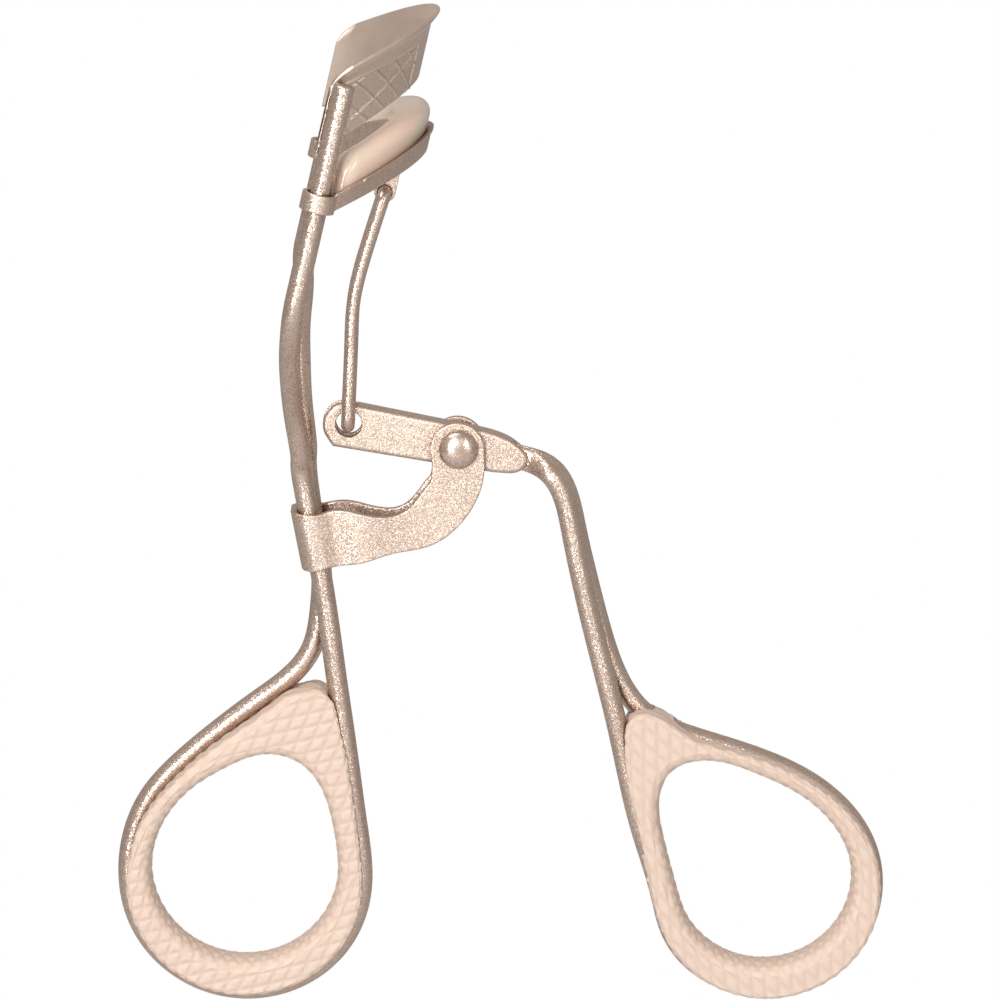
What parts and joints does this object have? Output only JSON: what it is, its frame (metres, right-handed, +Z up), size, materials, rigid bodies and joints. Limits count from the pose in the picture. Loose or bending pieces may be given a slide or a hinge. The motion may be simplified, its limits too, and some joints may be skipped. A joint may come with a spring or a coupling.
{
  "type": "eyelash curler",
  "caption": "Scissor style lash curler: curved plate above a sliding trough with a silicone pad, wire arms, folded lever and textured finger loops",
  "frame": {"origin": "centre of the fixed finger loop opening, mid width", "axes": "+Z up the tool toward the jaw, +X toward the moving arm, +Y across the jaw"},
  "size_m": [0.0812, 0.0326, 0.1068],
  "materials": {
    "satin_metal": "champagne rose satin plating with a fine blasted grain",
    "grip_silicone": "matt pale beige silicone with a lozenge relief",
    "pad_silicone": "glossy beige silicone"
  },
  "bodies": {
    "frame_arm": {"guide_rod_front": "satin_metal", "guide_rod_back": "satin_metal", "fixed_loop_wire": "satin_metal", "collar_bracket": "satin_metal", "hinge_rivet": "satin_metal", "upper_jaw_plate": "satin_metal", "fixed_loop_grip": "grip_silicone"},
    "lever_arm": {"lever_channel": "satin_metal", "moving_loop_wire": "satin_metal", "moving_loop_grip": "grip_silicone"},
    "lower_jaw": {"lower_jaw_trough": "satin_metal", "pad": "pad_silicone", "jaw_lug": "satin_metal"},
    "link": {"link_wire": "satin_metal"}
  },
  "joints": [
    {"name": "lever_hinge", "type": "hinge", "parent": "frame_arm", "child": "lever_arm", "pos_m": [0.0227, 0, 0.0457], "axis": [0, 1, 0], "range_deg": [-18, 9]},
    {"name": "jaw_slide", "type": "slide", "parent": "frame_arm", "child": "lower_jaw", "axis": [0.225, 0, 0.9744], "range_m": [-0.00375, 0.00188]},
    {"name": "link_pivot", "type": "hinge", "parent": "lower_jaw", "child": "link", "pos_m": [0.01515, 0, 0.07265], "axis": [0, 1, 0], "range_deg": [-1.09, 0.55]}
  ],
  "couplings": [
    {"joint": "jaw_slide", "follows": "lever_hinge", "m_per_rad": 0.0119},
    {"joint": "link_pivot", "follows": "lever_hinge", "ratio": 0.06}
  ]
}
